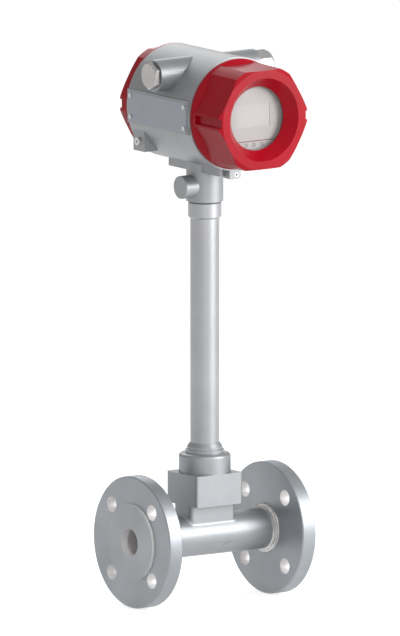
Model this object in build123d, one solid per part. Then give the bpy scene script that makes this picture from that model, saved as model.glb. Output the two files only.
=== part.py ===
# Vortex flow meter with a remote head on a tall stem, in millimetres.
# Origin: centre of the inlet's raised face. +X runs along the flow, +Z up the stem,
# and the display looks along -Y.
from build123d import *
from math import cos, sin, tan, radians, sqrt
import os

# Pipe and flanges
face_to_face = 208.0
flange_d = 150.0
flange_t = 18.0
flange_edge = 1.2
raised_face_d = 88.0
raised_face_h = 3.0
bolt_circle_d = 110.0
bolt_hole_d = 18.0
bolt_count = 4
bore_d = 32.0
tube_d = 46.0
socket_depth = 12.0
weld_leg = 5.0
weld_belly = 0.62

# Sensor block on the pipe
block_x = 64.0
block_y = 59.0
block_top = 72.0
block_h = 35.5
block_edge = 3.0
pedestal_x = 62.0
pedestal_y = 35.0
pedestal_blend = 5.0
arrow_length = 42.0
arrow_head = 11.0
arrow_width = 8.0
arrow_line = 2.4
arrow_drop = 6.5
arrow_depth = 0.5

# Bluff body and sensor
bluff_width = 9.0
bluff_tail = 4.5
bluff_length = 11.0
bluff_seat = 3.0
bluff_ahead = 24.0
seat_d = 46.0
seat_depth = 8.0
sensor_d = 34.0
sensor_seat_depth = 6.0
sensor_bore_d = 20.0
sensor_gap = 0.3
gasket_t = 1.5
paddle_t = 3.0
paddle_x = 13.0
paddle_reach = 25.0
lead_d = 5.0
lead_hole_d = 12.0

# Bonnet and stem
bonnet_d = 58.6
bonnet_h = 22.0
bonnet_round = 4.0
bonnet_step_d = 44.0
bonnet_step_h = 4.0
bonnet_ring_d = 40.0
bonnet_ring_h = 3.0
bonnet_cone_h = 4.4
stem_d = 32.7
stem_wall = 4.3
collar_d = 37.6
collar_bottom = 362.0
collar_h = 19.5
collar_edge = 2.0

# Head casting
head_z = 488.5
head_r = 64.6
head_half = 61.0
head_wall = 10.6
socket_d = 42.0
swivel_gap = 0.3
floor_boss_d = 48.0
floor_boss_h = 13.6
spot_face_h = 8.0
wall_y = -30.0
wall_t = 5.0
clamp_boss_d = 26.0
clamp_boss_x = 34.0
clamp_boss_up = 17.5
clamp_cap_t = 4.0
clamp_screw_d = 8.0
pad_x = 65.0
pad_half_z = 19.0
pad_y0 = -58.0
pad_y1 = 59.0
entry_up = 43.0
entry_y = -5.0
entry_r = 18.0
left_entry_x = 75.0
right_entry_x = 63.0
entry_bore_d = 20.0
plug_af = 28.0
left_plug_head = 5.5
right_plug_head = 20.0
plug_shank = 16.0
plug_round = 6.0
washer_t = 1.2
washer_w = 3.0
rail_half_x = 15.0
rail_round = 4.0
rail_drop = 72.0
rail_y0 = -50.0
rail_y1 = 52.0
rear_lug_x = 58.8
rear_lug_z0 = -51.0
rear_lug_z1 = -22.5
rear_lug_y0 = 34.7
rear_lug_y1 = 56.0
rear_screw_up = 11.0
front_lug_half_x = 7.5
front_lug_drop = 75.0
front_lug_round = 3.0
front_lug_y0 = -59.5
front_screw_drop = 70.0
front_screw_x = 2.0
front_lug_y1 = -46.0
lock_screw_d = 5.0
lock_screw_head_d = 9.0
lock_screw_head_h = 3.0
lock_screw_l = 9.0
lock_screw_socket = 3.0

# Covers
thread_pitch = 2.0
cover_turns = 6.0
cover_gap = 0.3
spigot_margin = 0.5
spigot_wall = 5.0
ring_t = 2.6
ring_back = 2.0
rim_l = 3.0
front_rim_r = 63.0
rear_rim_r = 64.6
corner_inset = 0.7
flat_inset = 5.6
draft_deg = 1.2
notch_half = 5.0
notch_depth = 4.3
front_depth = 55.0
rear_depth = 17.0
cover_edge = 2.2
cone_extra = 1.5
funnel_r = 47.5
window_r = 36.5
window_y = 41.5
lip_t = 1.6
glass_r = 42.0
glass_t = 5.0
glass_gap = 0.2
glass_seal_t = 0.8
clamp_ring_t = 5.0
clamp_ring_w = 5.5
cover_wall = 5.5

# Electronics in the front chamber
carrier_r = 46.0
carrier_wall = 2.0
carrier_l = 53.0
board_r = 43.0
display_r = 36.0
display_wall = 2.0
board_t = 1.6
board_gap = 14.0
post_r = 3.0
post_circle_r = 36.0
post_count = 3
display_flange_t = 1.5
face_gap = 0.5
display_gap = 3.0
bezel_t = 3.0
lcd_x = 46.0
lcd_z = 26.0
lcd_t = 2.4
lcd_up = 2.0
board_screw_d = 3.0
board_screw_head_d = 5.6
board_screw_head_h = 2.0

# Terminals in the rear chamber
terminal_x = 64.0
terminal_z = 16.0
terminal_y = 18.0
terminal_up = -4.0
terminal_count = 6
terminal_pitch = 9.5
terminal_screw_d = 5.0
terminal_screw_h = 1.6
tray_r = 47.0
tray_t = 4.0
ground_screw_x = 26.0
ground_screw_z = -28.0
ground_screw_head_d = 10.0
ground_screw_head_h = 4.0
washer_plate_t = 1.0

# Nameplate
plate_y = 112.0
plate_z = 34.0
plate_t = 0.8
plate_screw_y = 52.0
plate_screw_z = 12.0
plate_screw_d = 3.0
plate_screw_head_d = 5.2
plate_screw_head_h = 1.4

stem_x = face_to_face / 2
block_bottom = block_top - block_h
bonnet_top = block_top + bonnet_h + bonnet_step_h + bonnet_ring_h + bonnet_cone_h
stem_bottom = block_top + bonnet_h / 2
collar_top = collar_bottom + collar_h
socket_bottom = collar_top + swivel_gap
chamber_r = head_r - head_wall
floor_z = head_z - head_r + floor_boss_h
stem_top = floor_z + 5.0
spigot_r = chamber_r - cover_gap
spigot_l = thread_pitch * cover_turns + spigot_margin
front_y = -head_half - front_depth
rear_y = head_half + rear_depth
glass_front = -head_half - window_y + lip_t
glass_back = glass_front + glass_seal_t + glass_t
clamp_ring_back = glass_back + clamp_ring_t


def cylinder(axis, radius, low, high, at=(0, 0, 0)):
    """A cylinder along an axis letter, from low to high on that axis."""
    middle = (low + high) / 2
    turn = {"X": (0, 90, 0), "Y": (90, 0, 0), "Z": (0, 0, 0)}[axis]
    place = {
        "X": (middle, at[1], at[2]),
        "Y": (at[0], middle, at[2]),
        "Z": (at[0], at[1], middle),
    }[axis]
    return Location(place, turn) * Cylinder(radius, high - low)


def ring(axis, outer, inner, low, high, at=(0, 0, 0)):
    """A plain ring along an axis letter."""
    solid = cylinder(axis, outer, low, high, at)
    return solid - cylinder(axis, inner, low - 1, high + 1, at)


def block(x0, x1, y0, y1, z0, z1):
    """A box between its lowest and highest corners."""
    middle = ((x0 + x1) / 2, (y0 + y1) / 2, (z0 + z1) / 2)
    return Location(middle) * Box(x1 - x0, y1 - y0, z1 - z0)


def turned(axis, profile, at=(0, 0, 0)):
    """A turned part: profile is a list of (radius, place on the axis)."""
    if axis == "Z":
        points = [(r, 0, s) for r, s in profile]
        solid = revolve(make_face(Polyline(*points, close=True)), Axis.Z)
    elif axis == "Y":
        points = [(r, s, 0) for r, s in profile]
        solid = revolve(make_face(Polyline(*points, close=True)), Axis.Y)
    else:
        points = [(s, r, 0) for r, s in profile]
        solid = revolve(make_face(Polyline(*points, close=True)), Axis.X)
    return Location(at) * solid


def one(shape):
    """The single solid of a result."""
    solids = shape.solids()
    return solids[0] if len(solids) == 1 else shape


parts = {}
head_at = (stem_x, 0, head_z)


def make_flange(face_x, outward):
    """Socket-weld flange. outward is -1 at the inlet and +1 at the outlet."""
    step = face_x - outward * raised_face_h
    back = step - outward * flange_t
    profile = [
        (bore_d / 2, face_x),
        (raised_face_d / 2, face_x),
        (raised_face_d / 2, step),
        (flange_d / 2 - flange_edge, step),
        (flange_d / 2, step - outward * flange_edge),
        (flange_d / 2, back + outward * flange_edge),
        (flange_d / 2 - flange_edge, back),
        (tube_d / 2, back),
        (tube_d / 2, back + outward * socket_depth),
        (bore_d / 2, back + outward * socket_depth),
    ]
    solid = turned("X", profile)
    for index in range(bolt_count):
        angle = radians(360 / bolt_count * (index + 0.5))
        place = (0, bolt_circle_d / 2 * cos(angle), bolt_circle_d / 2 * sin(angle))
        ends = sorted([step + outward, back - outward])
        solid -= cylinder("X", bolt_hole_d / 2, ends[0], ends[1], place)
    return one(solid)


def make_weld(face_x, outward):
    """Fillet weld between a flange's back and the pipe."""
    back = face_x - outward * (raised_face_h + flange_t)
    profile = [
        (tube_d / 2, back),
        (tube_d / 2 + weld_leg, back),
        (tube_d / 2 + weld_leg * weld_belly, back - outward * weld_leg * weld_belly),
        (tube_d / 2, back - outward * weld_leg),
    ]
    return one(turned("X", profile))


parts["inlet_flange"] = make_flange(0, -1)
parts["outlet_flange"] = make_flange(face_to_face, 1)
parts["inlet_weld"] = make_weld(0, -1)
parts["outlet_weld"] = make_weld(face_to_face, 1)


def arrow_outline():
    """Flow arrow pointing along +X, seen from -Y."""
    half = arrow_length / 2
    neck = half - arrow_head
    points = [
        (-half, -arrow_line / 2),
        (neck, -arrow_line / 2),
        (neck, -arrow_width / 2),
        (half, 0),
        (neck, arrow_width / 2),
        (neck, arrow_line / 2),
        (-half, arrow_line / 2),
    ]
    return [(stem_x + x, 0, z - arrow_drop) for x, z in points]


def make_meter_body():
    """Pipe, pedestal and sensor block, cast and machined in one piece."""
    end = raised_face_h + flange_t - socket_depth
    pipe = cylinder("X", tube_d / 2, end, face_to_face - end)
    pedestal = block(
        stem_x - pedestal_x / 2, stem_x + pedestal_x / 2,
        -pedestal_y / 2, pedestal_y / 2, 0, block_bottom,
    )
    pedestal = fillet(pedestal.edges().filter_by(Axis.Z), pedestal_blend)
    solid = pipe + pedestal
    low = sqrt((tube_d / 2) ** 2 - (pedestal_y / 2) ** 2)
    joint = [
        edge for edge in solid.edges()
        if low - 1 < edge.center().Z < tube_d / 2 + 1
        and edge.bounding_box().min.X > stem_x - pedestal_x / 2 - 1
        and edge.bounding_box().max.X < stem_x + pedestal_x / 2 + 1
        and edge.bounding_box().size.Z < tube_d / 2 - low + 1
    ]
    solid = fillet(joint, pedestal_blend)
    top = block(
        stem_x - block_x / 2, stem_x + block_x / 2,
        -block_y / 2, block_y / 2, block_bottom, block_top,
    )
    top = fillet(top.edges().filter_by(Axis.Z), block_edge)
    solid += top
    solid -= cylinder("X", bore_d / 2, end - 1, face_to_face - end + 1)
    at = (stem_x, 0, 0)
    solid -= cylinder("Z", seat_d / 2, block_top - seat_depth, block_top + 1, at)
    seat = block_top - seat_depth - sensor_seat_depth
    solid -= cylinder("Z", sensor_d / 2, seat, block_top, at)
    solid -= cylinder("Z", sensor_bore_d / 2, 0, block_top, at)
    solid -= make_bluff_body()
    arrow = extrude(make_face(Polyline(*arrow_outline(), close=True)), tube_d, dir=(0, -1, 0))
    skin = ring(
        "X", tube_d / 2 + 1, tube_d / 2 - arrow_depth,
        stem_x - arrow_length, stem_x + arrow_length,
    )
    return one(solid - (arrow & skin))


def make_bluff_body():
    """Shedder bar across the bore, wide face upstream, with its ends let into the wall."""
    front = stem_x - bluff_ahead
    points = [
        (front, -bluff_width / 2),
        (front + 2, -bluff_width / 2),
        (front + bluff_length, -bluff_tail / 2),
        (front + bluff_length, bluff_tail / 2),
        (front + 2, bluff_width / 2),
        (front, bluff_width / 2),
    ]
    reach = bore_d / 2 + bluff_seat
    outline = make_face(Polyline(*[(x, y, -reach) for x, y in points], close=True))
    return one(extrude(outline, 2 * reach, dir=(0, 0, 1)))


def make_sensor():
    """Vortex sensor: seated disc, body in the block's hole and a paddle in the flow."""
    at = (stem_x, 0, 0)
    seat = block_top - seat_depth - sensor_seat_depth
    disc = cylinder("Z", sensor_d / 2 - sensor_gap, seat + gasket_t, block_top - seat_depth, at)
    foot = bore_d / 2 + 1
    body = cylinder("Z", sensor_bore_d / 2 - sensor_gap, foot, seat + gasket_t + 1, at)
    paddle = block(
        stem_x - paddle_x / 2, stem_x + paddle_x / 2,
        -paddle_t / 2, paddle_t / 2, foot - paddle_reach, foot + 1,
    )
    return one(disc + body + paddle)


def make_sensor_gasket():
    seat = block_top - seat_depth - sensor_seat_depth
    return one(ring(
        "Z", sensor_d / 2 - sensor_gap, sensor_bore_d / 2 + sensor_gap,
        seat, seat + gasket_t, (stem_x, 0, 0),
    ))


def make_bonnet():
    """Turned bonnet that holds the sensor down and carries the stem."""
    top = block_top + bonnet_h
    step = top + bonnet_step_h
    cone = step + bonnet_ring_h
    outer = bonnet_d / 2
    low = block_top - seat_depth
    spigot = cylinder("Z", seat_d / 2 - 0.1, low, block_top)
    drum = cylinder("Z", outer, block_top, top)
    drum = fillet(drum.edges().sort_by(Axis.Z)[-1:], bonnet_round)
    step_ring = cylinder("Z", bonnet_step_d / 2, top, step)
    neck_ring = cylinder("Z", bonnet_ring_d / 2, step, cone)
    taper = turned("Z", [
        (0, cone),
        (bonnet_ring_d / 2, cone),
        (stem_d / 2 + 1, bonnet_top),
        (0, bonnet_top),
    ])
    solid = spigot + drum + step_ring + neck_ring + taper
    solid -= cylinder("Z", lead_hole_d / 2, low - 1, bonnet_top)
    solid -= cylinder("Z", stem_d / 2, stem_bottom, bonnet_top + 1)
    return one(Location((stem_x, 0, 0)) * solid)


def make_stem():
    """Stem tube, up through the collar into the head, with a groove for the retaining ring."""
    at = (stem_x, 0, 0)
    solid = ring("Z", stem_d / 2, stem_d / 2 - stem_wall, stem_bottom, stem_top, at)
    groove = ring(
        "Z", stem_d / 2 + 1, stem_d / 2 - 1.2,
        floor_z + swivel_gap, floor_z + swivel_gap + 2.2, at,
    )
    seal_z = (socket_bottom + floor_z) / 2
    seal_groove = ring("Z", stem_d / 2 + 1, stem_d / 2 - 2, seal_z - 1.6, seal_z + 1.6, at)
    return one(solid - groove - seal_groove)


def make_collar():
    profile = [
        (stem_d / 2, collar_bottom),
        (collar_d / 2 - collar_edge, collar_bottom),
        (collar_d / 2, collar_bottom + collar_edge),
        (collar_d / 2, collar_top - collar_edge),
        (collar_d / 2 - collar_edge, collar_top),
        (stem_d / 2, collar_top),
    ]
    return one(turned("Z", profile, (stem_x, 0, 0)))


def make_retaining_ring():
    """Snap ring on top of the stem, with its gap towards the rear."""
    at = (stem_x, 0, 0)
    low = floor_z + swivel_gap
    solid = ring("Z", stem_d / 2 + 3.5, stem_d / 2 - 1.2, low, low + 2.0, at)
    gap = block(stem_x - 4, stem_x + 4, 0, stem_d, low - 1, low + 4)
    return one(solid - gap)


parts["meter_body"] = make_meter_body()
parts["bluff_body"] = make_bluff_body()
parts["vortex_sensor"] = make_sensor()
parts["sensor_gasket"] = make_sensor_gasket()
parts["bonnet"] = make_bonnet()
parts["stem_tube"] = make_stem()
parts["stem_collar"] = make_collar()
parts["retaining_ring"] = make_retaining_ring()
seal_middle = (socket_bottom + floor_z) / 2
parts["stem_seal"] = one(ring(
    "Z", stem_d / 2, stem_d / 2 - 2, seal_middle - 1.4, seal_middle + 1.4, (stem_x, 0, 0),
))
parts["sensor_lead"] = one(cylinder(
    "Z", lead_d / 2, block_top - seat_depth, stem_top - 4, (stem_x, 0, 0),
))


def entry_face(side):
    """Outer face of the left (-1) or right (+1) cable entry."""
    reach = left_entry_x if side < 0 else right_entry_x
    return stem_x + side * reach


def make_head():
    """Two-chamber head casting with its stem socket, entries, rail, lugs and plate pad."""
    solid = cylinder("Y", head_r, -head_half, head_half, head_at)
    solid += cylinder("Z", socket_d / 2, socket_bottom, head_z - chamber_r, (stem_x, 0, 0))
    boss_z = socket_bottom + clamp_boss_up
    boss_x = stem_x - clamp_boss_x + clamp_cap_t
    solid += cylinder("X", clamp_boss_d / 2, boss_x, stem_x, (0, 0, boss_z))
    solid += block(
        stem_x - pad_x, stem_x - chamber_r, pad_y0, pad_y1,
        head_z - pad_half_z, head_z + pad_half_z,
    )
    for side in (-1, 1):
        ends = sorted([entry_face(side), stem_x])
        solid += cylinder("X", entry_r, ends[0], ends[1], (0, entry_y, head_z + entry_up))
    rail = block(
        stem_x - rail_half_x, stem_x + rail_half_x, rail_y0, rail_y1,
        head_z - rail_drop, head_z - chamber_r,
    )
    rail = fillet(rail.edges().filter_by(Axis.Z), rail_round)
    solid += rail
    solid += block(
        stem_x - rear_lug_x, stem_x - chamber_r / 2, rear_lug_y0, rear_lug_y1,
        head_z + rear_lug_z0, head_z + rear_lug_z1,
    )
    front_lug = block(
        stem_x - front_lug_half_x, stem_x + front_lug_half_x, front_lug_y0, front_lug_y1,
        head_z - front_lug_drop, head_z - chamber_r,
    )
    low_edges = front_lug.edges().filter_by(Axis.Y).sort_by(Axis.Z)[:2]
    front_lug = fillet(low_edges, front_lug_round)
    solid += front_lug
    solid -= cylinder("Y", chamber_r, -head_half - 1, wall_y, head_at)
    solid -= cylinder("Y", chamber_r, wall_y + wall_t, head_half + 1, head_at)
    boss = cylinder(
        "Z", floor_boss_d / 2, head_z - chamber_r - head_wall / 2, floor_z, (stem_x, 0, 0),
    )
    solid += boss
    solid -= cylinder("Z", floor_boss_d / 2, floor_z, floor_z + spot_face_h, (stem_x, 0, 0))
    solid -= cylinder(
        "Z", stem_d / 2 + swivel_gap, socket_bottom - 1, floor_z + 1, (stem_x, 0, 0),
    )
    for side in (-1, 1):
        ends = sorted([entry_face(side) + side, stem_x])
        hole = cylinder(
            "X", entry_bore_d / 2, ends[0], ends[1], (0, entry_y, head_z + entry_up),
        )
        solid -= hole
    solid -= cylinder("X", clamp_screw_d / 2, boss_x - 1, stem_x, (0, 0, boss_z))
    for place in post_places():
        solid -= cylinder("Y", board_screw_d / 2, wall_y - 1, wall_y + wall_t / 2, place)
    for y in (-plate_screw_y, plate_screw_y):
        for z in (-plate_screw_z, plate_screw_z):
            solid -= cylinder(
                "X", plate_screw_d / 2, stem_x - pad_x - 1, stem_x - pad_x + 6,
                (0, y, head_z + z),
            )
    solid -= rear_lock_shank()
    solid -= front_lock_shank()
    solid -= cylinder(
        "Y", ground_screw_head_d / 4, wall_y + wall_t - 3, wall_y + wall_t + 1,
        (stem_x + ground_screw_x, 0, head_z + ground_screw_z),
    )
    return one(solid)


def post_places():
    """Centres of the posts that stand on the dividing wall."""
    places = []
    for index in range(post_count):
        angle = radians(90 + 360 / post_count * index)
        x = stem_x + post_circle_r * cos(angle)
        z = head_z + post_circle_r * sin(angle)
        places.append((x, 0, z))
    return places


def rear_screw_place():
    return (0, (rear_lug_y0 + rear_lug_y1) / 2, head_z + rear_lug_z0 + rear_screw_up)


def rear_lock_shank():
    outer = stem_x - rear_lug_x
    return cylinder("X", lock_screw_d / 2, outer, outer + lock_screw_l, rear_screw_place())


def front_lock_shank():
    place = (stem_x + front_screw_x, 0, head_z - front_screw_drop)
    return cylinder("Y", lock_screw_d / 2, front_lug_y0, front_lug_y0 + lock_screw_l, place)


def hexagon_socket(plane, across, depth):
    """Cutter for a hexagon socket that goes depth deep along the plane's normal."""
    return extrude(plane * RegularPolygon(across / 2, 6, major_radius=False), depth)


def make_rear_lock_screw():
    place = rear_screw_place()
    outer = stem_x - rear_lug_x
    head = cylinder("X", lock_screw_head_d / 2, outer - lock_screw_head_h, outer, place)
    start = Plane((outer - lock_screw_head_h, place[1], place[2]), z_dir=(1, 0, 0))
    cut = hexagon_socket(start, lock_screw_socket, lock_screw_head_h / 2)
    return one(head + rear_lock_shank() - cut)


def make_front_lock_screw():
    start = Plane(
        (stem_x + front_screw_x, front_lug_y0, head_z - front_screw_drop), z_dir=(0, 1, 0),
    )
    cut = hexagon_socket(start, lock_screw_socket, lock_screw_head_h)
    return one(front_lock_shank() - cut)


def make_clamp_screw():
    """Capped screw that bears on the stem and holds the head's direction."""
    z = socket_bottom + clamp_boss_up
    face = stem_x - clamp_boss_x + clamp_cap_t
    cap = cylinder("X", clamp_boss_d / 2, stem_x - clamp_boss_x, face, (0, 0, z))
    cap = fillet(cap.edges().sort_by(Axis.X)[:1], clamp_cap_t / 8)
    tip = stem_x - stem_d / 2 - swivel_gap
    return one(cap + cylinder("X", clamp_screw_d / 2, face, tip, (0, 0, z)))


def make_plug(side):
    """Blanking plug with a hexagon head, rounded at its end, and a threaded shank."""
    z = head_z + entry_up
    head_l = left_plug_head if side < 0 else right_plug_head
    face = entry_face(side) + side * washer_t
    hexagon = RegularPolygon(plug_af / 2, 6, major_radius=False)
    plane = Plane((face, entry_y, z), x_dir=(0, 0, 1), z_dir=(side, 0, 0))
    head = extrude(plane * hexagon, head_l)
    corner = plug_af / sqrt(3)
    round_l = min(plug_round, head_l / 3)
    end = face + side * head_l
    rounding = turned("X", [
        (0, face),
        (corner, face),
        (corner, end - side * round_l),
        (plug_af / 2, end - side * round_l * 0.3),
        (plug_af / 2 - round_l * 0.3, end),
        (0, end),
    ], (0, entry_y, z))
    ends = sorted([face, face - side * plug_shank])
    shank = cylinder("X", entry_bore_d / 2, ends[0], ends[1], (0, entry_y, z))
    return one((head & rounding) + shank)


def make_entry_washer(side):
    z = head_z + entry_up
    ends = sorted([entry_face(side), entry_face(side) + side * washer_t])
    return one(ring(
        "X", entry_bore_d / 2 + washer_w, entry_bore_d / 2, ends[0], ends[1],
        (0, entry_y, z),
    ))


parts["head_casting"] = make_head()
parts["head_clamp_screw"] = make_clamp_screw()
parts["rear_lock_screw"] = make_rear_lock_screw()
parts["front_lock_screw"] = make_front_lock_screw()
parts["left_entry_plug"] = make_plug(-1)
parts["right_entry_plug"] = make_plug(1)
parts["left_entry_washer"] = make_entry_washer(-1)
parts["right_entry_washer"] = make_entry_washer(1)


def cover_outline(low, high, outward, rim_r):
    """Hexagon with rounded corners, tapering from low to high along Y."""
    length = abs(high - low)
    taper = tan(radians(draft_deg)) * length
    corner_r = rim_r - corner_inset
    flat_apothem = rim_r - flat_inset
    back = RegularPolygon(flat_apothem, 6, major_radius=False, rotation=30)
    front = RegularPolygon(flat_apothem - taper, 6, major_radius=False, rotation=30)
    plane = Plane((0, low, 0), x_dir=(1, 0, 0), z_dir=(0, outward, 0))
    far_plane = Plane((0, high, 0), x_dir=(1, 0, 0), z_dir=(0, outward, 0))
    prism = loft([plane * Rot(0, 0, 30) * back, far_plane * Rot(0, 0, 30) * front])
    edge_low = high - outward * cover_edge
    round_part = turned("Y", [
        (0, low),
        (corner_r, low),
        (corner_r - taper, edge_low),
        (corner_r - taper - 2 * cover_edge, high),
        (0, high),
    ])
    return prism & round_part


def make_cover(outward, depth, rim_r, windowed):
    """Screwed cover: rim, cone, hexagon grip, two notches and a spigot."""
    corner_r = rim_r - corner_inset
    rim = outward * head_half
    rim_end = rim + outward * rim_l
    cone = flat_inset + cone_extra
    high = rim + outward * depth
    grip = cover_outline(rim_end, high, outward, rim_r)
    collar = turned("Y", [
        (0, rim),
        (rim_r, rim),
        (rim_r, rim_end),
        (rim_r - cone, rim_end + outward * cone),
        (0, rim_end + outward * cone),
    ])
    solid = grip + collar
    notch_start = rim_end + outward * (corner_inset + notch_depth)
    for side in (-1, 1):
        xs = sorted([side * (corner_r - notch_depth), side * (corner_r + 5)])
        ys = sorted([notch_start, high + outward])
        solid -= block(xs[0], xs[1], ys[0], ys[1], -notch_half, notch_half)
    inner = -outward * spigot_l
    spigot_inner = spigot_r - spigot_wall
    ends = sorted([rim + inner, rim])
    solid += cylinder("Y", spigot_r, ends[0], ends[1])
    if windowed:
        pocket = clamp_ring_back
        solid -= turned("Y", [
            (0, high + outward),
            (funnel_r + 1, high + outward),
            (funnel_r, high),
            (window_r, rim - window_y),
            (window_r, rim - window_y + lip_t),
            (glass_r + glass_gap, glass_front),
            (glass_r + glass_gap, pocket),
            (spigot_inner, pocket + cover_wall),
            (spigot_inner, rim + inner + 1),
            (0, rim + inner + 1),
        ])
        ends = sorted([rim + inner - 1, pocket])
        solid -= cylinder("Y", glass_r + glass_gap, ends[0], ends[1])
    else:
        ends = sorted([rim + inner - outward, high - outward * cover_wall])
        solid -= cylinder("Y", spigot_inner, ends[0], ends[1])
    groove = sorted([rim - outward * ring_back, rim - outward * (ring_back + ring_t + 0.4)])
    solid -= ring("Y", spigot_r + 1, spigot_r - ring_t, groove[0], groove[1])
    return one(Location(head_at) * solid)


def make_cover_ring(outward):
    """O-ring in the spigot's groove."""
    rim = outward * head_half
    ends = sorted([
        rim - outward * (ring_back + 0.2),
        rim - outward * (ring_back + ring_t + 0.2),
    ])
    return one(Location(head_at) * ring(
        "Y", spigot_r, spigot_r - ring_t + 0.2, ends[0], ends[1],
    ))


parts["front_cover"] = make_cover(-1, front_depth, front_rim_r, True)
parts["rear_cover"] = make_cover(1, rear_depth, rear_rim_r, False)
parts["front_cover_ring"] = make_cover_ring(-1)
parts["rear_cover_ring"] = make_cover_ring(1)
parts["window_seal"] = one(ring(
    "Y", glass_r, window_r + 1, glass_front, glass_front + glass_seal_t, head_at,
))
parts["window_glass"] = one(cylinder(
    "Y", glass_r, glass_front + glass_seal_t, glass_back, head_at,
))
parts["window_clamp_ring"] = one(ring(
    "Y", glass_r + glass_gap, glass_r - clamp_ring_w, glass_back, clamp_ring_back, head_at,
))


def on_head(solid):
    return Location((stem_x, 0, head_z)) * solid


carrier_front = wall_y - carrier_l
main_board_y = wall_y - board_gap
bezel_front = glass_back + face_gap
bezel_back = bezel_front + bezel_t
display_board_y = bezel_back + display_gap


def make_carrier():
    """Moulded cup on the dividing wall that holds the boards."""
    solid = cylinder("Y", carrier_r, carrier_front, wall_y, head_at)
    solid -= cylinder(
        "Y", carrier_r - carrier_wall, carrier_front - 1, wall_y - carrier_wall, head_at,
    )
    for place in post_places():
        solid += cylinder("Y", post_r + 1.5, main_board_y, wall_y, place)
    for place in post_places():
        solid -= cylinder("Y", board_screw_d / 2, main_board_y - 1, wall_y + 1, place)
    return one(solid)


def make_main_board():
    solid = cylinder("Y", board_r, main_board_y - board_t, main_board_y, head_at)
    for place in post_places():
        solid -= cylinder(
            "Y", board_screw_d / 2, main_board_y - board_t - 1, main_board_y + 1, place,
        )
    front = main_board_y - board_t
    for x, z, length, width, height in (
        (-12.0, 8.0, 14.0, 14.0, 2.0),
        (12.0, 10.0, 9.0, 9.0, 1.6),
        (6.0, -12.0, 16.0, 7.0, 4.0),
        (-16.0, -14.0, 8.0, 10.0, 6.0),
    ):
        solid += on_head(block(
            x - length / 2, x + length / 2, front - height, front,
            z - width / 2, z + width / 2,
        ))
    return one(solid)


def make_display_board():
    return one(cylinder(
        "Y", display_r - display_wall, display_board_y, display_board_y + board_t, head_at,
    ))


def make_bezel():
    """Front plate of the display module: a hat that stands on the carrier's rim."""
    solid = cylinder("Y", display_r, bezel_front, bezel_back, head_at)
    solid += ring(
        "Y", display_r, display_r - display_wall, bezel_back, carrier_front, head_at,
    )
    solid += ring(
        "Y", carrier_r, display_r - display_wall, carrier_front - display_flange_t,
        carrier_front, head_at,
    )
    solid -= on_head(block(
        -lcd_x / 2, lcd_x / 2, bezel_front - 1, bezel_back + 1,
        lcd_up - lcd_z / 2, lcd_up + lcd_z / 2,
    ))
    return one(solid)


def make_lcd():
    """Screen behind the bezel's opening, standing on the display board."""
    solid = on_head(block(
        -lcd_x / 2, lcd_x / 2, bezel_back - lcd_t, bezel_back,
        lcd_up - lcd_z / 2, lcd_up + lcd_z / 2,
    ))
    solid += on_head(block(
        -lcd_x / 2 - 2, lcd_x / 2 + 2, bezel_back, display_board_y,
        lcd_up - lcd_z / 2 - 2, lcd_up + lcd_z / 2 + 2,
    ))
    return one(solid)


def make_board_screws():
    front = main_board_y - board_t
    screws = []
    for place in post_places():
        shank = cylinder("Y", board_screw_d / 2, front, wall_y + wall_t / 2, place)
        head = cylinder("Y", board_screw_head_d / 2, front - board_screw_head_h, front, place)
        screws.append(one(shank + head))
    return Compound(screws)


parts["electronics_carrier"] = make_carrier()
parts["main_board"] = make_main_board()
parts["display_board"] = make_display_board()
parts["display_bezel"] = make_bezel()
parts["display_screen"] = make_lcd()
parts["board_screws"] = make_board_screws()

rear_floor = wall_y + wall_t
tray_front = rear_floor + tray_t


def make_terminal_tray():
    """Insulating plate on the dividing wall, clear of the stem and the ground screw."""
    solid = cylinder("Y", tray_r, rear_floor, tray_front, head_at)
    solid -= on_head(block(
        -tray_r, tray_r, rear_floor - 1, tray_front + 1, -tray_r - 1,
        floor_z - head_z + 10,
    ))
    solid -= cylinder(
        "Y", ground_screw_head_d / 2 + 2.5, rear_floor - 1, tray_front + 1,
        (stem_x + ground_screw_x, 0, head_z + ground_screw_z),
    )
    return one(solid)


def terminal_places():
    start = -(terminal_count - 1) / 2 * terminal_pitch
    return [stem_x + start + index * terminal_pitch for index in range(terminal_count)]


def make_terminal_block():
    """Row of cage terminals with a screw hole on top of each."""
    z = head_z + terminal_up
    back = tray_front + terminal_y
    solid = block(
        stem_x - terminal_x / 2, stem_x + terminal_x / 2, tray_front, back,
        z - terminal_z / 2, z + terminal_z / 2,
    )
    for x in terminal_places():
        solid -= cylinder("Y", terminal_screw_d / 2 + 0.4, back - 5, back + 1, (x, 0, z))
        solid -= cylinder("Z", 2.2, z - terminal_z / 2 - 1, z - 1, (x, back - 9, 0))
    return one(solid)


def make_terminal_screws():
    z = head_z + terminal_up
    floor = tray_front + terminal_y - 5
    screws = []
    for x in terminal_places():
        head = cylinder("Y", terminal_screw_d / 2, floor, floor + terminal_screw_h + 1, (x, 0, z))
        slot = block(x - 2, x + 2, floor + terminal_screw_h, floor + 5, z - 0.4, z + 0.4)
        screws.append(one(head - slot))
    return Compound(screws)


def make_ground_screw():
    place = (stem_x + ground_screw_x, 0, head_z + ground_screw_z)
    shank = cylinder("Y", ground_screw_head_d / 4, rear_floor - 3, rear_floor + 2, place)
    head = cylinder(
        "Y", ground_screw_head_d / 2, rear_floor + washer_plate_t,
        rear_floor + washer_plate_t + ground_screw_head_h, place,
    )
    slot = block(
        place[0] - 6, place[0] + 6, rear_floor + ground_screw_head_h - 0.5,
        rear_floor + ground_screw_head_h + 3, place[2] - 0.7, place[2] + 0.7,
    )
    return one(shank + head - slot)


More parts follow.
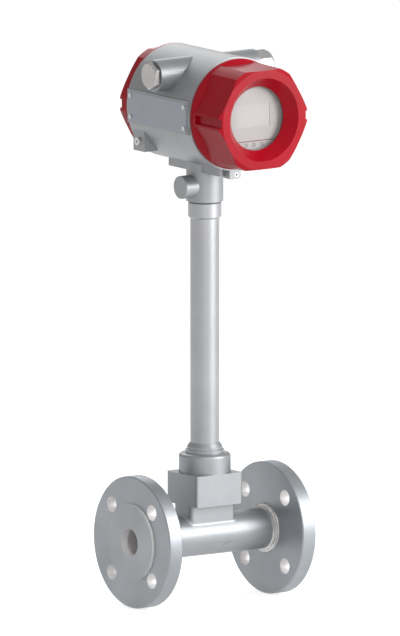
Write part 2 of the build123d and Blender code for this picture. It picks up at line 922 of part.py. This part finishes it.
def make_ground_washer():
    place = (stem_x + ground_screw_x, 0, head_z + ground_screw_z)
    return one(ring(
        "Y", ground_screw_head_d / 2 + 1.5, ground_screw_head_d / 4,
        rear_floor, rear_floor + washer_plate_t, place,
    ))


parts["terminal_tray"] = make_terminal_tray()
parts["terminal_block"] = make_terminal_block()
parts["terminal_screws"] = make_terminal_screws()
parts["ground_screw"] = make_ground_screw()
parts["ground_washer"] = make_ground_washer()


def make_nameplate():
    outer = stem_x - pad_x - plate_t
    solid = block(
        outer, stem_x - pad_x, -plate_y / 2, plate_y / 2,
        head_z - plate_z / 2, head_z + plate_z / 2,
    )
    solid = fillet(solid.edges().filter_by(Axis.X), 2)
    for y in (-plate_screw_y, plate_screw_y):
        for z in (-plate_screw_z, plate_screw_z):
            solid -= cylinder(
                "X", plate_screw_d / 2, outer - 1, stem_x - pad_x + 1, (0, y, head_z + z),
            )
    return one(solid)


def make_nameplate_screws():
    outer = stem_x - pad_x - plate_t
    screws = []
    for y in (-plate_screw_y, plate_screw_y):
        for z in (-plate_screw_z, plate_screw_z):
            place = (0, y, head_z + z)
            shank = cylinder("X", plate_screw_d / 2, outer, stem_x - pad_x + 5, place)
            head = cylinder(
                "X", plate_screw_head_d / 2, outer - plate_screw_head_h, outer, place,
            )
            slot = block(
                outer - plate_screw_head_h - 1, outer - plate_screw_head_h + 0.6,
                y - 4, y + 4, head_z + z - 0.4, head_z + z + 0.4,
            )
            screws.append(one(shank + head - slot))
    return Compound(screws)


parts["nameplate"] = make_nameplate()
parts["nameplate_screws"] = make_nameplate_screws()

os.makedirs("parts", exist_ok=True)
for name, shape in parts.items():
    export_step(shape, f"parts/{name}.step")
print(len(parts), "pieces written")
print("head height", round(head_z + head_r, 1), "front", front_y, "rear", rear_y)
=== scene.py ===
# %% [markdown]
# # A vortex flow meter, seen as in a product photograph
# The shapes come from CAD and stay as they are. This lesson gives each of them a
# surface: bead-blasted stainless steel, thick red powder coat, glass, a printed display
# plate. It also adds the small relief that a CAD model leaves out, such as the ripples
# of a weld. Every length is in metres, in the frame of the CAD model.

import math

import bpy
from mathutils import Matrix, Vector


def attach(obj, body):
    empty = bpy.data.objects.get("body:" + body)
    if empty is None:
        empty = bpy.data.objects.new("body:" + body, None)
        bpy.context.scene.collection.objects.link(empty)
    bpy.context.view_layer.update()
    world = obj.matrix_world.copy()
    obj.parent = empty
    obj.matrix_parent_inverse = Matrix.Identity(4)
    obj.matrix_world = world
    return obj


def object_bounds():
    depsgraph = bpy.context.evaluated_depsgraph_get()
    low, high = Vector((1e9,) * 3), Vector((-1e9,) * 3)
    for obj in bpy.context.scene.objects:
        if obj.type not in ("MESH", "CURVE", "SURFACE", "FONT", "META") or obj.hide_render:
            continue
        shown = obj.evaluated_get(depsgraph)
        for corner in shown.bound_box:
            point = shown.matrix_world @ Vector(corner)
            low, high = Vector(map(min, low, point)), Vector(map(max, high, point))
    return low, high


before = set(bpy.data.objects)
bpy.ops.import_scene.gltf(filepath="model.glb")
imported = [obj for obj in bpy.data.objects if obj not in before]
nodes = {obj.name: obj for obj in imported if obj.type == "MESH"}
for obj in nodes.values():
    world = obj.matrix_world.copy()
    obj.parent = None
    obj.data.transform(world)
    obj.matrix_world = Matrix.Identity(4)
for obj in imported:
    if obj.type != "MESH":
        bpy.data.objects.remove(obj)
cad_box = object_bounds()

# %% [markdown]
# ## Writing shader maths as Python
# A Blender material is a graph of nodes. Wiring dozens of Math nodes by hand hides the
# formula, so one small class wraps a node's output socket and gives it operators. Then
# `0.4 + 0.2 * noise` adds the two Math nodes by itself.


# %% The socket class
def link_or_set(tree, socket, value):
    """Feeds a socket from another socket, or sets its own value."""
    if isinstance(value, Wire):
        tree.links.new(value.socket, socket)
    elif isinstance(value, (tuple, list)) and len(value) == 3 and socket.type == "RGBA":
        socket.default_value = (*value, 1.0)
    else:
        socket.default_value = value


class Wire:
    """An output socket that can be added, multiplied and mixed like a number."""

    def __init__(self, tree, socket):
        self.tree = tree
        self.socket = socket

    def node(self, kind, settings=(), output=0, **inputs):
        """Adds any node; settings come first, inputs are named or numbered _0, _1."""
        made = self.tree.nodes.new(kind)
        for name, value in dict(settings).items():
            setattr(made, name, value)
        for name, value in inputs.items():
            key = int(name[1:]) if name[1:].isdigit() else name.replace("_", " ")
            link_or_set(self.tree, made.inputs[key], value)
        return Wire(self.tree, made.outputs[output])

    def maths(self, operation, *values):
        """A Math node on this socket and the other values."""
        inputs = {f"_{index}": value for index, value in enumerate(values)}
        return self.node("ShaderNodeMath", {"operation": operation}, **inputs)

    def sine(self, period):
        """A wave from 0 to 1 that repeats after each period."""
        angle = self * (2 * math.pi / period)
        return angle.maths("SINE", angle) * 0.5 + 0.5

    def size(self):
        """The value without its sign."""
        return self.maths("ABSOLUTE", self)

    def __add__(self, other):
        return self.maths("ADD", self, other)

    __radd__ = __add__

    def __mul__(self, other):
        return self.maths("MULTIPLY", self, other)

    __rmul__ = __mul__

    def __sub__(self, other):
        return self.maths("SUBTRACT", self, other)

    def __rsub__(self, other):
        return self.maths("SUBTRACT", other, self)

    def __pow__(self, other):
        return self.maths("POWER", self, other)

    def step(self, low, high):
        """0 below low, 1 above high, smooth between. high may be below low."""
        inputs = {"Value": self, "From_Min": low, "From_Max": high}
        return self.node("ShaderNodeMapRange", {"interpolation_type": "SMOOTHSTEP"}, **inputs)

    def mix(self, low, high):
        """A colour from low where this is 0 to high where it is 1."""
        inputs = {"_0": self, "_6": low, "_7": high}
        return self.node("ShaderNodeMix", {"data_type": "RGBA"}, output=2, **inputs)


# %% [markdown]
# ## Helpers that every finish shares
# `Finish` starts a material and holds its tree and its Principled shader. Noise is read
# from Object coordinates. Each piece's object sits at the origin, so the pattern
# is fixed to the metal and its size is given in repeats per metre.


# %% Colour, coordinates and noise
def linear(red, green, blue):
    """The linear colour of an 8-bit screen colour."""
    values = [channel / 255 for channel in (red, green, blue)]
    return tuple(v / 12.92 if v <= 0.04045 else ((v + 0.055) / 1.055) ** 2.4 for v in values)


class Finish:
    """One material: its tree, its Principled shader and its coordinates."""

    def __init__(self, name, **constants):
        self.material = bpy.data.materials.new(name)
        self.material.use_nodes = True
        self.tree = self.material.node_tree
        self.shader = self.tree.nodes["Principled BSDF"]
        for key, value in constants.items():
            link_or_set(self.tree, self.shader.inputs[key.replace("_", " ")], value)
        self.place = self.first("ShaderNodeTexCoord", "Object")

    def first(self, kind, output=0):
        """A node with nothing plugged in, such as Texture Coordinate."""
        return Wire(self.tree, self.tree.nodes.new(kind).outputs[output])

    def noise(self, scale, detail=4.0, roughness=0.55, stretch=None):
        """Noise from 0 to 1, scale repeats per metre, stretched if asked."""
        place = self.place
        if stretch:
            place = place.node("ShaderNodeMapping", Vector=place, Scale=stretch)
        return place.node(
            "ShaderNodeTexNoise", Vector=place, Scale=scale, Detail=detail, Roughness=roughness
        )

    def axes(self):
        """The x, y and z of the surface point, in metres."""
        split = self.place.node("ShaderNodeSeparateXYZ", _0=self.place)
        return [Wire(self.tree, split.socket.node.outputs[i]) for i in range(3)]

    def facing(self):
        """The x, y and z of the surface's direction."""
        normal = self.first("ShaderNodeNewGeometry", "Normal")
        split = normal.node("ShaderNodeSeparateXYZ", _0=normal)
        return [Wire(self.tree, split.socket.node.outputs[i]) for i in range(3)]

    def set(self, **inputs):
        """Plugs values or wires into the shader's sockets."""
        for key, value in inputs.items():
            link_or_set(self.tree, self.shader.inputs[key.replace("_", " ")], value)

    def bump(self, height, distance):
        """A Bump node into Normal. distance is the height's real size in metres."""
        made = height.node("ShaderNodeBump", Height=height, Distance=distance, Strength=1.0)
        link_or_set(self.tree, self.shader.inputs["Normal"], made)

    def edges(self, radius):
        """1 along sharp edges, 0 on flats: the turn of a bevelled normal."""
        bevel = self.place.node("ShaderNodeBevel", {"samples": 6}, Radius=radius)
        normal = self.first("ShaderNodeNewGeometry", "Normal")
        dot = normal.node(
            "ShaderNodeVectorMath", {"operation": "DOT_PRODUCT"}, output=1, _0=bevel, _1=normal
        )
        return (1.0 - dot).step(0.02, 0.22)


def wear(*names, material):
    """Puts a material in every slot of the named CAD nodes."""
    for name in names:
        slots = nodes[name].data.materials
        slots.clear()
        slots.append(material)


# %% [markdown]
# ## Stainless steel, bead blasted
# The pipe, flanges, stem and head share one satin grey. Bead blasting leaves a fine
# even grain, so the light spreads wide and the highlight is soft. Slow clouds of tone
# keep large faces from looking printed, and edges polish a little where hands and bolts
# rub. The mirror part is weak, so roughness stays above 0.35.


# %% Cast and blasted steel
def blasted_steel(name, tone, base_roughness, grain, cloud_amount=0.10, bore_painted_light_radius=0.0):
    """Satin metal with grain, slow clouds, brighter edges and painted light that whitens the bore."""
    made = Finish(name, Metallic=0.72, Specular_IOR_Level=0.45)
    clouds = made.noise(9.0, 3.0)
    speckle = made.noise(2400.0, 2.0)
    blotch = made.noise(60.0, 4.0, 0.6)
    shade = clouds * cloud_amount + blotch * 0.05 + speckle * 0.06
    light = tuple(min(1.0, c * 1.16) for c in tone)
    dark = tuple(c * 0.80 for c in tone)
    colour = shade.step(0.02, cloud_amount + 0.12).mix(dark, light)
    rubbed = made.edges(0.0008)
    bright = tuple(min(1.0, c * 1.45) for c in tone)
    colour = (rubbed * 0.45).mix(colour, bright)
    # Painted light: inside the bore radius the wall is painted near white, as if lit.
    if bore_painted_light_radius:
        _, across, up = made.axes()
        painted_bore_light = ((across * across + up * up) ** 0.5).step(bore_painted_light_radius + 0.0015, bore_painted_light_radius)
        colour = painted_bore_light.mix(colour, linear(246, 244, 244))
    made.set(Base_Color=colour)
    made.set(Roughness=base_roughness + speckle * 0.10 + blotch * 0.06 - rubbed * 0.10)
    pits = made.noise(1500.0, 3.0, 0.6)
    made.bump(pits * 0.7 + made.noise(260.0, 2.0) * 0.3, grain)
    return made


cast_steel = blasted_steel("cast_stainless", linear(164, 167, 170), 0.36, 0.00006, bore_painted_light_radius=0.0165)
head_metal = blasted_steel("blasted_housing", linear(166, 168, 170), 0.40, 0.00005, 0.06)
wear("meter_body", "bonnet", material=cast_steel.material)
wear("head_casting", "head_clamp_screw", material=head_metal.material)
print("blasted finishes:", cast_steel.material.name, head_metal.material.name)

# %% [markdown]
# ## Turned faces on the flanges and the stem
# A lathe leaves fine circles round the axis. On the flanges they run round X, and on
# the stem and collar round Z. The same formula draws both: the distance from the axis,
# or the place along it, drives a fast sine whose height is a few micrometres.


# %% Turned steel
def turned_steel(
    name, axis, pitch, tone, roughness, centre=(0.0, 0.0), painted_light_within=0.0,
):
    """Metal with lathe rings; walls nearer the axis than the given radius are painted near white as
    light.
    """
    made = Finish(name, Metallic=0.75, Specular_IOR_Level=0.45)
    place = made.axes()
    facing = made.facing()
    along = place.pop(axis)
    end_on = facing[axis]
    first = place[0] - centre[0]
    second = place[1] - centre[1]
    radius = (first * first + second * second) ** 0.5
    on_end = (end_on * end_on).step(0.4, 0.6)
    travel = radius * on_end + along * (1.0 - on_end)
    wobble = made.noise(40.0, 2.0) * pitch
    rings = (travel + wobble).sine(pitch)
    grain = made.noise(1800.0, 2.0)
    clouds = made.noise(14.0, 3.0)
    rubbed = made.edges(0.0008)
    light = tuple(min(1.0, c * 1.12) for c in tone)
    dark = tuple(c * 0.84 for c in tone)
    bright = tuple(min(1.0, c * 1.4) for c in tone)
    colour = (clouds * 0.7 + rings * 0.15 + grain * 0.15).step(0.2, 0.8).mix(dark, light)
    colour = (rubbed * 0.5).mix(colour, bright)
    # Painted light: walls nearer the axis than this radius, the bore and the bolt holes, are painted
    # near white and made less metallic, as if lit.
    if painted_light_within:
        painted_wall_light = (1.0 - on_end) * radius.step(painted_light_within, painted_light_within - 0.001)
        made.set(Base_Color=painted_wall_light.mix(colour, linear(246, 244, 244)))
        made.set(Metallic=0.75 - painted_wall_light * 0.6)
    else:
        made.set(Base_Color=colour)
    made.set(Roughness=roughness + rings * 0.05 + grain * 0.08 - rubbed * 0.08)
    made.bump(rings * 0.6 + grain * 0.4, pitch * 0.02)
    return made


steel_tone = linear(160, 164, 168)
# The flange walls inside this radius get painted light, near white.
painted_light_wall_radius = 0.073
flange_steel = turned_steel(
    "turned_flange", 0, 0.0008, steel_tone, 0.36, painted_light_within=painted_light_wall_radius,
)
stem_axis = (0.104, 0.0)
stem_steel = turned_steel("drawn_stem", 2, 0.0006, linear(172, 173, 176), 0.34, stem_axis)
wear("inlet_flange", "outlet_flange", material=flange_steel.material)
wear("stem_tube", "stem_collar", material=stem_steel.material)

# %% [markdown]
# ## Small steel
# Entry plugs, lock screws and plate screws are machined and tumbled. They are brighter
# than the castings and carry fine scratches in all directions.


# %% Machined small parts
def machined(name, tone, roughness, metallic=0.85):
    """Bright small metal with fine scratches."""
    made = Finish(name, Metallic=metallic)
    grain = made.noise(3000.0, 2.0)
    scratches = made.noise(500.0, 3.0, stretch=(1.0, 6.0, 1.0))
    clouds = made.noise(45.0, 3.0)
    rubbed = made.edges(0.0005)
    dark = tuple(c * 0.84 for c in tone)
    bright = tuple(min(1.0, c * 1.3) for c in tone)
    colour = (clouds * 0.6 + scratches * 0.4).step(0.25, 0.75).mix(dark, tone)
    made.set(Base_Color=(rubbed * 0.6).mix(colour, bright))
    made.set(Roughness=roughness + grain * 0.08 + scratches * 0.08 - rubbed * 0.06)
    made.bump(scratches * 0.6 + grain * 0.4, 0.00001)
    return made


plug_metal = machined("machined_plug", linear(196, 194, 192), 0.34, 0.75)
screw_metal = machined("plated_screw", linear(214, 213, 212), 0.28)
hidden_metal = machined("hidden_steel", linear(170, 170, 172), 0.35)
brass = machined("brass", linear(190, 160, 90), 0.32)
wear("left_entry_plug", "right_entry_plug", material=plug_metal.material)
wear("rear_lock_screw", "front_lock_screw", "nameplate_screws", material=screw_metal.material)
wear("bluff_body", "vortex_sensor", "retaining_ring", material=hidden_metal.material)
wear("board_screws", material=hidden_metal.material)
wear("terminal_screws", "ground_screw", "ground_washer", material=brass.material)

# %% [markdown]
# ## Red powder coat
# The covers are aluminium under a thick red coat. Powder melts into a skin with a faint
# orange-peel, so the bump is slow and shallow, with a clear gloss on top. The coat is
# thinner over sharp corners, which look a little lighter. In the low light the red is
# deep, so the base stays saturated.


# %% Powder coat
def powder_coat(name, deep, lit):
    """Coated red with orange-peel, soft gloss and lighter corners."""
    made = Finish(name, Coat_Roughness=0.16, Specular_IOR_Level=0.12)
    peel = made.noise(650.0, 2.0, 0.4)
    clouds = made.noise(18.0, 3.0)
    fine = made.noise(2600.0, 2.0)
    corners = made.edges(0.0012)
    colour = (clouds * 0.6 + fine * 0.4).step(0.2, 0.8).mix(deep, lit)
    pale = tuple(min(1.0, c * 1.3 + 0.01) for c in lit)
    made.set(Base_Color=(corners * 0.5).mix(colour, pale))
    made.set(Roughness=0.34 + fine * 0.06 + clouds * 0.05, Coat_Weight=0.10 + peel * 0.06)
    made.bump(peel * 0.8 + fine * 0.2, 0.00005)
    return made


cover_red = powder_coat("red_powder_coat", linear(152, 1, 20), linear(172, 3, 30))
wear("front_cover", "rear_cover", material=cover_red.material)

# %% [markdown]
# ## Glass, rubber, plastics and boards
# The window is clear and thick. The seals are matt black rubber, the carrier and the
# terminal tray are moulded in a dark plastic with a fine spark-eroded skin, and the
# boards are green laminate with the weave of the glass cloth showing through.

# %% Window glass
window = Finish("window_glass", Specular_IOR_Level=0.5)
smear = window.noise(30.0, 3.0).step(0.4, 0.9)
window.set(Base_Color=smear.mix((0.80, 0.82, 0.82), (0.86, 0.87, 0.87)))
window.set(Roughness=0.03 + smear * 0.04, Alpha=0.06 + smear * 0.02)
window.bump(window.noise(12.0, 1.0), 0.00002)
wear("window_glass", material=window.material)


# %% Rubber and moulded plastic
def moulded(name, tone, roughness, grain_scale, depth, contrast=0.25):
    """Plastic or rubber with a fine skin and slow clouds."""
    made = Finish(name, Specular_IOR_Level=0.4)
    skin = made.noise(grain_scale, 3.0, 0.6)
    clouds = made.noise(25.0, 3.0)
    dark = tuple(c * (1 - contrast) for c in tone)
    light = tuple(min(1.0, c * (1 + contrast)) for c in tone)
    corners = made.edges(0.0006)
    colour = (clouds * 0.6 + skin * 0.4).step(0.25, 0.75).mix(dark, light)
    pale = tuple(min(1.0, c * 1.5 + 0.01) for c in tone)
    made.set(Base_Color=(corners * 0.4).mix(colour, pale), Roughness=roughness + skin * 0.12)
    made.bump(skin, depth)
    return made


rubber = moulded("black_rubber", linear(26, 26, 28), 0.62, 1400.0, 0.00003)
dark_plastic = moulded("dark_plastic", linear(44, 46, 50), 0.46, 1800.0, 0.00002)
graphite = moulded("graphite", linear(62, 62, 66), 0.42, 900.0, 0.00003)
wear("left_entry_washer", "right_entry_washer", material=rubber.material)
wear("stem_seal", "window_seal", material=rubber.material)
wear("front_cover_ring", "rear_cover_ring", "sensor_lead", material=rubber.material)
wear("electronics_carrier", "terminal_tray", "terminal_block", material=dark_plastic.material)
wear("sensor_gasket", material=graphite.material)


# %% Circuit boards
def laminate(name, tone):
    """Green board with the weave of its cloth and small tracks."""
    made = Finish(name, Specular_IOR_Level=0.5)
    place = made.axes()
    weave = place[0].sine(0.0006) * place[2].sine(0.0006)
    tracks = made.noise(160.0, 0.0, stretch=(1.0, 1.0, 4.0)).step(0.55, 0.58)
    base = (weave * 0.4 + made.noise(30.0) * 0.6).mix(tuple(c * 0.7 for c in tone), tone)
    made.set(Base_Color=(tracks * 0.35).mix(base, tuple(c * 1.6 for c in tone)))
    made.set(Roughness=0.38 + weave * 0.08)
    made.bump(weave * 0.3 + tracks * 0.7, 0.00002)
    return made


board_green = laminate("board_green", linear(22, 84, 48))
wear("main_board", "display_board", material=board_green.material)

# %% [markdown]
# ## The display plate
# Behind the window stands a pale printed plate with a screen in it. The photograph
# shows it as one light grey disc with a thin dark red line across it near the top and
# small marks for the touch keys under it. All of it is printed, so it is drawn in the
# material from the surface point: a line is where z is close to a height.

# %% Plate, line and key marks
head_middle = Vector((0.104, 0.0, 0.4885))
display_grey = linear(172, 166, 166)


def band(value, middle, half, soft=0.00008):
    """1 where value is within half of middle."""
    return (value - middle).size().step(half + soft, half - soft)


face_print = Finish("display_print", Specular_IOR_Level=0.4)
face_x, face_y, face_z = face_print.axes()
face_x = face_x - head_middle.x
face_z = face_z - head_middle.z
grain = face_print.noise(2200.0, 2.0)
tone = (face_print.noise(20.0) * 0.7 + grain * 0.3).step(0.2, 0.8)
plate_colour = tone.mix(tuple(c * 0.93 for c in display_grey), display_grey)
line = band(face_z, -0.0268, 0.00055)
marked = line.mix(plate_colour, linear(96, 30, 36))
key_ring = None
for key_x in (-0.010, 0.001, 0.012):
    dx = face_x - key_x
    dz = face_z + 0.0312
    key_radius = (dx * dx + dz * dz) ** 0.5
    one_key = band(key_radius, 0.0019, 0.0005)
    key_ring = one_key if key_ring is None else key_ring + one_key
marked = (key_ring * 0.9).mix(marked, linear(78, 76, 80))
face_print.set(Base_Color=marked, Roughness=0.48 + grain * 0.10)
face_print.bump(grain, 0.00001)
wear("display_bezel", "window_clamp_ring", material=face_print.material)

# %% [markdown]
# ## The screen
# A reflective screen that is off is a slightly cooler grey than the plate, with its
# row-and-column grid only just visible.

# %% Screen with its pixel grid
screen = Finish("screen_off", Specular_IOR_Level=0.5)
screen_x, screen_y, screen_z = screen.axes()
pixels = (screen_x.sine(0.0009) * screen_z.sine(0.0009)).step(0.2, 0.8)
screen_tone = screen.noise(25.0).step(0.3, 0.7) * 0.5 + pixels * 0.5
screen.set(Base_Color=screen_tone.mix(linear(170, 165, 165), linear(175, 169, 169)))
screen.set(Roughness=0.30 + pixels * 0.06)
screen.bump(pixels, 0.000005)
wear("display_screen", material=screen.material)

# %% [markdown]
# ## The blank nameplate
# The plate on the side is thin stainless sheet, brushed along its length and a little
# bluer than the casting. It stays blank.

# %% Brushed plate
plate = Finish("brushed_plate", Metallic=0.55, Specular_IOR_Level=0.4)
strokes = plate.noise(900.0, 3.0, 0.6, stretch=(1.0, 0.02, 1.0))
plate_clouds = plate.noise(16.0, 3.0)
plate_edges = plate.edges(0.0005)
plate_base = (strokes * 0.5 + plate_clouds * 0.5).step(0.3, 0.7)
plate_base = plate_base.mix(linear(154, 158, 165), linear(164, 168, 175))
plate.set(Base_Color=(plate_edges * 0.5).mix(plate_base, linear(226, 228, 230)))
plate.set(Roughness=0.34 + strokes * 0.14)
plate.bump(strokes, 0.000006)
wear("nameplate", material=plate.material)

# %% [markdown]
# ## Weld beads
# A fillet weld laid by hand is a row of overlapping ripples. The CAD node holds its
# size as a plain cone, so a Geometry Nodes tree repeats one thin disc round the pipe
# and the ripples sit on that cone. Each one is a flattened ball, set on a circle, and a
# seeded random number makes some a little larger than others.


# %% A tree that lays ripples round a circle
class Tree:
    """A Geometry Nodes tree with named inputs."""

    def __init__(self, name, inputs):
        self.group = bpy.data.node_groups.new(name, "GeometryNodeTree")
        face = self.group.interface
        face.new_socket(name="Geometry", in_out="INPUT", socket_type="NodeSocketGeometry")
        self.keys = {}
        for label, kind, value in inputs:
            socket = face.new_socket(name=label, in_out="INPUT", socket_type=kind)
            socket.default_value = value
            self.keys[label] = socket.identifier
        face.new_socket(name="Geometry", in_out="OUTPUT", socket_type="NodeSocketGeometry")
        self.start = self.group.nodes.new("NodeGroupInput")
        self.end = self.group.nodes.new("NodeGroupOutput")

    def value(self, label):
        """The wire of a named input."""
        return Wire(self.group, self.start.outputs[label])

    def add(self, kind, settings=(), output=0, **inputs):
        """Adds a node through the same method that materials use."""
        return Wire(self.group, self.start.outputs[0]).node(kind, settings, output, **inputs)

    def close(self, geometry, material):
        """Realises the instances, sets the material and ends the tree."""
        real = self.add("GeometryNodeRealizeInstances", Geometry=geometry)
        done = self.add("GeometryNodeSetMaterial", Geometry=real)
        done.socket.node.inputs["Material"].default_value = material
        self.group.links.new(done.socket, self.end.inputs[0])


def grow(name, tree, values, body):
    """Evaluates a tree on an empty mesh and keeps the result as a plain piece."""
    piece = bpy.data.objects.new(name, bpy.data.meshes.new(name))
    bpy.context.scene.collection.objects.link(piece)
    modifier = piece.modifiers.new("grow", "NODES")
    modifier.node_group = tree.group
    for label, value in values.items():
        modifier[tree.keys[label]] = value
    graph = bpy.context.evaluated_depsgraph_get()
    mesh = bpy.data.meshes.new_from_object(piece.evaluated_get(graph))
    piece.modifiers.remove(modifier)
    piece.data = mesh
    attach(piece, body)
    print(name, "faces:", len(mesh.polygons))


# %% [markdown]
# ### The bead's metal
# Fresh bead metal is brighter than the pipe, with faint straw tints where it was hot.

# %% Weld metal
bead = Finish("weld_bead", Metallic=0.8)
heat = bead.noise(70.0, 3.0)
bead_fine = bead.noise(1800.0, 2.0)
bead_base = (heat * 0.8 + bead_fine * 0.2).step(0.3, 0.7)
bead.set(Base_Color=bead_base.mix(linear(188, 186, 184), linear(222, 221, 220)))
bead.set(Roughness=0.30 + bead_fine * 0.12)
bead.bump(bead_fine, 0.00003)

# %% Ripple tree
ripples = Tree("weld_ripples", [
    ("Count", "NodeSocketInt", 90),
    ("Circle radius", "NodeSocketFloat", 0.0248),
    ("Place", "NodeSocketFloat", 0.0215),
    ("Ripple", "NodeSocketFloat", 0.0034),
    ("Seed", "NodeSocketInt", 4),
])
ring_line = ripples.add(
    "GeometryNodeCurvePrimitiveCircle", {"mode": "RADIUS"},
    Resolution=ripples.value("Count"), Radius=ripples.value("Circle radius"),
)
ring_points = ripples.add(
    "GeometryNodeCurveToPoints", {"mode": "EVALUATED"}, Curve=ring_line,
)
rotation_wire = Wire(ripples.group, ring_points.socket.node.outputs["Rotation"])
ball = ripples.add(
    "GeometryNodeMeshUVSphere", Segments=14, Rings=8, Radius=ripples.value("Ripple"),
)
jitter = ripples.add(
    "FunctionNodeRandomValue", {"data_type": "FLOAT"}, output=1,
    _2=0.92, _3=1.06, Seed=ripples.value("Seed"),
)
size = ripples.add("ShaderNodeCombineXYZ", X=jitter * 1.0, Y=jitter * 0.86, Z=0.42)
laid = ripples.add(
    "GeometryNodeInstanceOnPoints", Points=ring_points, Instance=ball,
    Rotation=rotation_wire, Scale=size,
)
turned_ring = ripples.add("GeometryNodeRealizeInstances", Geometry=laid)
upright = ripples.add(
    "GeometryNodeTransform", Geometry=turned_ring, Rotation=(0.0, math.pi / 2, 0.0),
)
offset = ripples.add("ShaderNodeCombineXYZ", X=ripples.value("Place"), Y=0.0, Z=0.0)
moved = ripples.add("GeometryNodeTransform", Geometry=upright, Translation=offset)
ripples.close(moved, bead.material)
for side, place in (("inlet", 0.0224), ("outlet", 0.1856)):
    grow(f"{side}_weld_ripples", ripples, {"Place": place}, "meter")
wear("inlet_weld", "outlet_weld", material=bead.material)

# %% [markdown]
# ## Gasket grooves on the raised faces
# A raised face carries fine spiral grooves, so that the gasket grips. A reader sees
# them as rings of light and shade. Thin rings a tenth of a millimetre proud, repeated
# by a tree from the bore to the face's edge, catch the light as the real lands do.

# %% Groove tree
grooves = Tree("face_lands", [
    ("Lands", "NodeSocketInt", 22),
    ("First radius", "NodeSocketFloat", 0.0180),
    ("Pitch", "NodeSocketFloat", 0.00115),
    ("Place", "NodeSocketFloat", 0.0),
    ("Land height", "NodeSocketFloat", 0.00012),
])
row = grooves.add(
    "GeometryNodeMeshLine", {"mode": "OFFSET"}, Count=grooves.value("Lands"),
    Offset=(0.0, 0.0, 0.0),
)
index = grooves.add("GeometryNodeInputIndex")
land_radius = index * grooves.value("Pitch") + grooves.value("First radius")
unit_ring = grooves.add(
    "GeometryNodeCurvePrimitiveCircle", {"mode": "RADIUS"}, Resolution=96, Radius=1.0,
)
land_scale = grooves.add("ShaderNodeCombineXYZ", X=land_radius, Y=land_radius, Z=1.0)
lands = grooves.add(
    "GeometryNodeInstanceOnPoints", Points=row, Instance=unit_ring, Scale=land_scale,
)
real_lands = grooves.add("GeometryNodeRealizeInstances", Geometry=lands)
section = grooves.add(
    "GeometryNodeCurvePrimitiveCircle", {"mode": "RADIUS"}, Resolution=6,
    Radius=grooves.value("Land height"),
)
land_mesh = grooves.add("GeometryNodeCurveToMesh", Curve=real_lands, Profile_Curve=section)
land_turned = grooves.add(
    "GeometryNodeTransform", Geometry=land_mesh, Rotation=(0.0, math.pi / 2, 0.0),
)
land_offset = grooves.add("ShaderNodeCombineXYZ", X=grooves.value("Place"), Y=0.0, Z=0.0)
land_moved = grooves.add("GeometryNodeTransform", Geometry=land_turned, Translation=land_offset)
grooves.close(land_moved, flange_steel.material)
for side, place in (("inlet", 0.0), ("outlet", 0.208)):
    grow(f"{side}_face_lands", grooves, {"Place": place}, "meter")

# %% [markdown]
# ## Floor, light and camera
# The photograph has no horizon: the object stands before plain white. A large pale
# floor keeps a soft shadow, while the camera sees white through Is Camera Ray. Two big
# soft lamps light it, one high on the left and one on the right, and the world fills in.

# %% Stage
floor_size = 60.0
lowest = cad_box[0].z
bpy.ops.mesh.primitive_plane_add(size=floor_size, location=(0.1, 0.0, lowest - 0.0005))
floor = bpy.context.object
floor.name = "studio_floor"
floor_finish = Finish("studio_floor", Specular_IOR_Level=0.1)
paper = floor_finish.noise(300.0, 3.0)
rays = floor_finish.first("ShaderNodeLightPath", "Is Camera Ray")
glossy = Wire(floor_finish.tree, rays.socket.node.outputs["Is Glossy Ray"])
passing = Wire(floor_finish.tree, rays.socket.node.outputs["Is Transmission Ray"])
shown = rays.maths("MAXIMUM", rays, glossy)
shown = shown.maths("MAXIMUM", shown, passing)
floor_finish.set(Base_Color=paper.mix((0.52, 0.52, 0.52), (0.56, 0.56, 0.56)), Roughness=0.9)
floor_finish.set(Emission_Color=shown.mix((0.0, 0.0, 0.0), (0.74, 0.74, 0.74)))
floor_finish.shader.inputs["Emission Strength"].default_value = 1.0
floor.data.materials.append(floor_finish.material)

world = bpy.context.scene.world or bpy.data.worlds.new("studio")
bpy.context.scene.world = world
world.use_nodes = True
world_tree = world.node_tree
background = world_tree.nodes["Background"]
background.inputs["Color"].default_value = (1.0, 1.0, 1.0, 1.0)
rays = world_tree.nodes.new("ShaderNodeLightPath")
seen = Wire(world_tree, rays.outputs["Is Camera Ray"])
strength = seen * 0.5 + 0.5
world_tree.links.new(strength.socket, background.inputs["Strength"])


# %% Lamps
def soft_lamp(name, place, target, size, power):
    """A square area lamp that faces its target."""
    data = bpy.data.lights.new(name, "AREA")
    data.size = size
    data.energy = power
    lamp = bpy.data.objects.new(name, data)
    bpy.context.scene.collection.objects.link(lamp)
    lamp.location = place
    direction = Vector(target) - Vector(place)
    lamp.rotation_mode = "QUATERNION"
    lamp.rotation_quaternion = direction.to_track_quat("-Z", "Y")


look_at = Vector((0.09747, 0.0, 0.2477))
soft_lamp("key_lamp", (1.10, -1.55, 0.85), look_at, 1.3, 36.0)
soft_lamp("camera_side_lamp", (-0.70, -1.60, 1.00), look_at, 0.8, 7.0)
soft_lamp("back_lamp", (0.60, 1.30, 1.10), look_at, 0.9, 6.0)

# %% Camera at the photograph's angle
camera_data = bpy.data.cameras.new("photo_camera")
camera_data.type = "ORTHO"
camera_data.ortho_scale = 636 / 0.8866 / 1000
camera = bpy.data.objects.new("photo_camera", camera_data)
bpy.context.scene.collection.objects.link(camera)
back = Vector((-0.5709, -0.8054, 0.1594)).normalized()
camera.location = look_at + back * 2.5
camera.rotation_mode = "QUATERNION"
camera.rotation_quaternion = (-back).to_track_quat("-Z", "Y")
bpy.context.scene.camera = camera
bpy.context.scene.view_settings.view_transform = "Standard"
